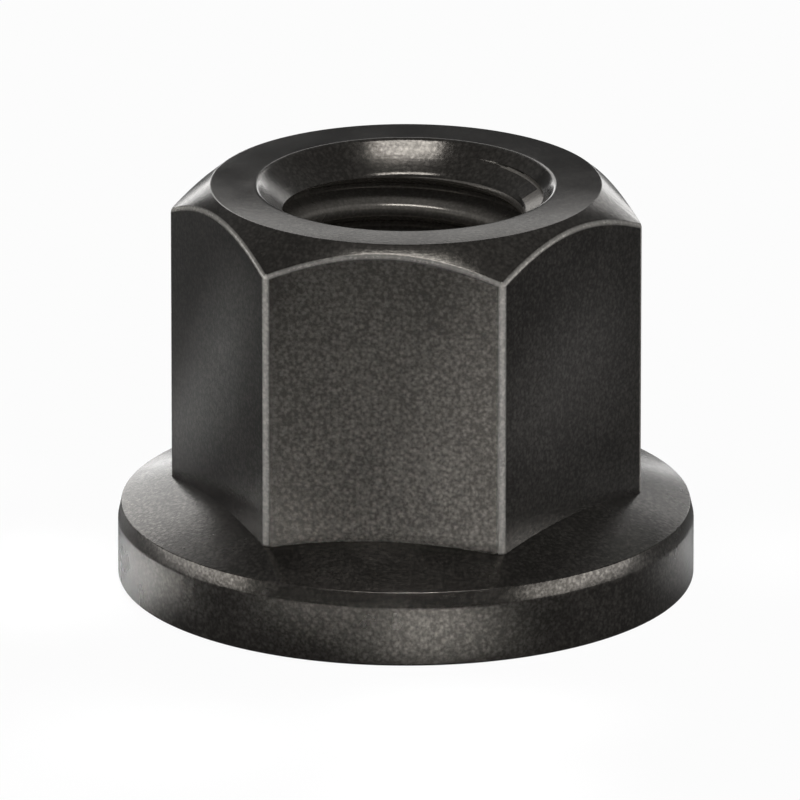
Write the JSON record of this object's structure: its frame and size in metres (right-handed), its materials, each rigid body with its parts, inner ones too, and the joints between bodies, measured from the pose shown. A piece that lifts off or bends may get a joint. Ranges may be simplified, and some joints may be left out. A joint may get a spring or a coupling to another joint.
{
  "type": "serrated flange nut",
  "caption": "Tall black-oxide steel hex nut with a conical flange, M12 coarse thread, a turned top chamfer and radial serrations under the flange that grip the clamped face.",
  "frame": {"origin": "centre of the serrated bearing face, on the thread axis", "axes": "+Z along the thread axis, from the bearing face towards the hexagon's chamfered end; two corners of the hexagon lie over the X axis"},
  "size_m": [0.025, 0.025, 0.018],
  "materials": {
    "black_oxide_steel": "black oxide on forged and turned steel, satin, lightly oiled"
  },
  "bodies": {
    "root": {"flange_nut": "black_oxide_steel"}
  },
  "joints": []
}
